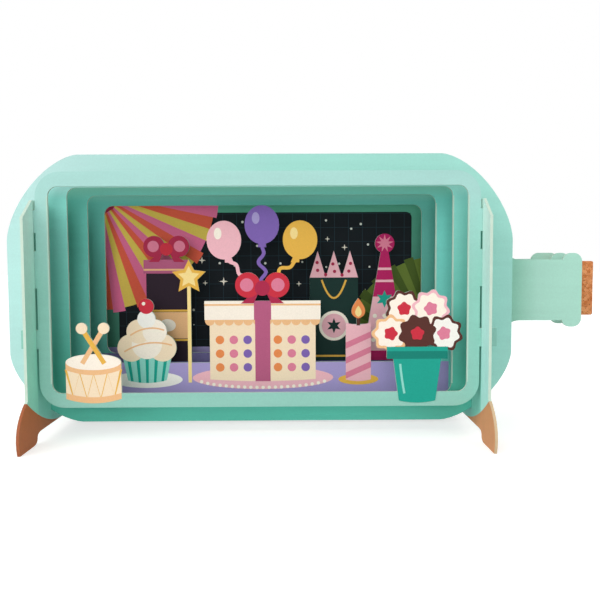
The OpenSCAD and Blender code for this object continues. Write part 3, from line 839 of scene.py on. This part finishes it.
# %% Candle
def flame(low, belly_x, belly_z, tip):
    right = curve((0, low), (belly_x, belly_z), (0, tip))
    left = curve((0, tip), (-belly_x, belly_z), (0, low))
    return right + left[1:-1]


half = 5
stripes = [[(-half, z), (half, z + 4.5), (half, z + 7), (-half, z + 2.5)] for z in (3.2, 9.2, 15.2)]
print_on("candle_print", "middle_frame", 38, [
    ("gold", [disc(0, 3, 8, 2.2)]),
    ("pink", [band(half, 2.9, 25.6, 0.7)]),
    ("deep_pink", stripes),
    ("chocolate", [rect(-0.7, 24.5, 0.7, 29)]),
    ("orange", [flame(low=27.25, belly_x=5.4, belly_z=29.05, tip=35.35)]),
    ("pale_gold", [flame(low=27.9, belly_x=2.6, belly_z=29.2, tip=32.4)]),
], ON_TABLE)

# %% [markdown]
# ## Toy drum
# The front ring carries a toy drum with two crossed sticks. Its side is a band that hangs in a curve, its
# head an oval, and a cord runs in a zigzag between the two hoops. The zigzag's points are lowered along the
# same curve, or the cord would not look as if it went round the drum.

# %% Toy drum
LEAN = math.radians(32)
half = 10
drum_top = 15
sag = 1.6
stick_x = 4
stick_z = 14.5
stick_long = 15
stick_wide = 1.7
end_x = stick_x - stick_long * math.sin(LEAN)
end_z = stick_z + stick_long * math.cos(LEAN)
ends = [(s * end_x, end_z) for s in SIDES]
sticks = [stroke([(s * stick_x, stick_z), end], stick_wide) for s, end in zip(SIDES, ends)]
zigzag = [(-half + 2.5 * i, 3.2 if i % 2 else 12.4) for i in range(9)]
cord = [(x, z - sag * (1 - (x / half) ** 2)) for x, z in zigzag]
print_on("drum_print", "front_frame", -60, [
    ("cream", [band(half, 1.6, drum_top, sag)]),
    ("gold", [stroke(cord, 0.8)]),
    ("peach", [band(half, 1.6, 3.8, sag), band(half, 12.2, drum_top, 1.9)]),
    ("pale_cream", [disc(0, drum_top, half, 2.9)]),
    ("peach", sticks[:1]),
    ("gold", sticks[1:]),
    ("cream", [disc(*end, 1.2 * stick_wide) for end in ends]),
], ON_CARD)

# %% [markdown]
# ## Flower pot
# A teal pot with a bunch of round flowers stands at the other end of the front ring. A flower is a circle
# whose radius swells with a cosine, once for each petal, drawn three times: rim, face and heart. The flowers
# overlap, so each one is printed whole before the next. The pot comes last and covers their stems.

# %% Flower pot
PETALS = 8
SWELL = 0.1          # how much a petal swells, in parts of the flower's radius
# Place, height, turn in degrees, and the inks of rim, face and heart
FLOWERS = (
    (-4.8, 33.76, 20, "chocolate", "pale_cream", "red"),
    (4.8, 33.76, 35, "pink", "pale_cream", "deep_pink"),
    (-9.6, 24.8, 0, "peach", "pale_cream", "red"),
    (9.6, 24.8, 30, "chocolate", "white", "deep_pink"),
    (0, 24.8, 15, "chocolate", "chocolate", "red"),
)


def flower(x, z, r, count, swell, turn):
    loop = []
    for i in range(count * 6):
        a = 2 * math.pi * i / (count * 6)
        reach = r * (1 + swell * math.cos(count * a))
        loop.append((x + reach * math.cos(a + turn), z + reach * math.sin(a + turn)))
    return loop


pot_print = []
for x, z, degrees, rim_ink, face_ink, heart_ink in FLOWERS:
    turn = math.radians(degrees)
    pot_print += [
        (rim_ink, [flower(x, z, 6.4, PETALS, SWELL, turn)]),
        (face_ink, [flower(x, z, 5.3, PETALS, SWELL, turn)]),
        (heart_ink, [flower(x, z, 2.3, 5, 0.12, turn)]),
    ]
pot_top = 20
pot_rim = 11
pot_waist = 9.24
shine = stroke(curve((-6.2, 13.8), (-5.6, 8), (-4.6, 3)), 0.8)
pot_print += [
    ("teal", [band(pot_waist, 0.4, pot_top, sag=0.8, low_in=2.64)]),
    ("dark_teal", [rect(-pot_rim, pot_top - 4.4, pot_rim, pot_top)]),
    ("teal", [rect(-pot_rim, pot_top - 1.6, pot_rim, pot_top)]),
    ("pale_teal", [shine]),
]
print_on("flower_pot_print", "front_frame", 57, pot_print, ON_CARD)

# %% [markdown]
# ## White floor
# The card stands on a sheet of white paper that fills the picture. Paper lit only by lamps would come out
# grey, so the floor also glows a little towards the camera, and towards glossy surfaces that mirror it. The
# glow is weak enough to leave the card's own soft shadow on it, and other light doesn't see the glow at all,
# so it doesn't light the card from below.

# %% White floor
FLOOR_SIZE = 4.0     # m
FLOOR_GLOW = 0.6
FLOOR_ROUGH = 0.9    # uncoated paper
FLOOR_CLOUD = (5.0, 5.0, 5.0)    # mm
FLOOR_TONES = (0.95, 1.05)


def seen_rays(tree):
    """Gives 1 for what the camera sees, straight, in a reflection or through glass, and 0 for the rest."""
    most = {"operation": "MAXIMUM"}
    path = add(tree, "LightPath", {}, {})
    seen = add(tree, "Math", most, {0: path["Is Camera Ray"], 1: path["Is Glossy Ray"]})[0]
    return add(tree, "Math", most, {0: seen, 1: path["Is Transmission Ray"]})[0]


bpy.ops.mesh.primitive_plane_add(size=FLOOR_SIZE, location=(0, 0, 0))
floor = bpy.context.object
floor.name = "floor"
paper, tree, surface = new_material("white_uncoated_paper", FLOOR_ROUGH, CARD_SHEEN)
print_surface(tree, surface, linear("#D0D0CE"), (FLOOR_CLOUD,), FLOOR_TONES, CARD_DEPTH)
glow = add(tree, "Math", {"operation": "MULTIPLY"}, {0: seen_rays(tree), 1: FLOOR_GLOW})[0]
surface["Emission Color"].default_value = linear("#FFFFFF")
tree.links.new(glow, surface["Emission Strength"])
floor.data.materials.append(paper)
print("Floor:", FLOOR_SIZE, "m wide")

# %% [markdown]
# ## Light
# White surroundings fill every shadow, as in a light tent. A large lamp at the upper left gives the sheets
# their soft shadows on each other, and a smaller one in front reaches the figures at the back. A third one
# behind keeps the plain back of the card from going grey. Lamps this large have soft edges, which suits
# paper. Their power is kept low, because pale mint turns to plain white very soon.

# %% Light
FILL = 0.62          # brightness of the surroundings, as far as they light the card
AIM = Vector((0, 0, 0.05))
scene = bpy.context.scene
scene.view_settings.view_transform = "Standard"
scene.world = bpy.data.worlds.new("light_tent")
scene.world.use_nodes = True
tree = scene.world.node_tree
strength = add(tree, "MapRange", {}, {0: seen_rays(tree), 3: FILL, 4: 1.0})[0]
tree.nodes["Background"].inputs["Color"].default_value = linear("#FFFFFF")
tree.links.new(strength, tree.nodes["Background"].inputs["Strength"])


def soft_light(name, place, size, watts):
    lamp = bpy.data.lights.new(name, "AREA")
    lamp.size = size
    lamp.energy = watts
    made = bpy.data.objects.new(name, lamp)
    made.location = place
    made.rotation_euler = (AIM - made.location).to_track_quat("-Z", "Y").to_euler()
    scene.collection.objects.link(made)
    print(f"{name}: {watts} W from {(AIM - made.location).length:.2f} m")


soft_light("key", (-0.8, -0.8, 0.8), size=1.0, watts=7.5)
soft_light("front", (-0.1, -1.5, 0.3), size=0.6, watts=6.0)
soft_light("back", (0.5, 1.4, 0.6), size=0.8, watts=5.0)

# %% [markdown]
# ## Camera
# The camera looks at the front from a little above the middle, and from so near that each sheet behind looks
# smaller than the one before it. That nearness shows the depth of the stage. Its place and its turns were
# fitted to the edges of the sheets, so they are given as angles and not as a point to look at.

# %% Camera
EYE = (-0.0079, -0.2933, 0.0689)    # m
PAN = -0.0064        # radians; a minus turns it to the right
TILT = 0.0657        # radians down
ROLL = -0.0047       # radians
camera = bpy.data.cameras.new("camera")
camera.lens = 44.46                 # mm
camera.sensor_width = 36            # mm
camera.clip_start = 0.01
eye = bpy.data.objects.new("camera", camera)
level = Matrix.Rotation(PAN, 4, "Z") @ Matrix.Rotation(math.pi / 2 - TILT, 4, "X")
eye.matrix_world = Matrix.Translation(EYE) @ level @ Matrix.Rotation(ROLL, 4, "Z")
scene.collection.objects.link(eye)
scene.camera = eye
print(f"The camera is {-EYE[1] * 100:.0f} cm in front of the card's middle")
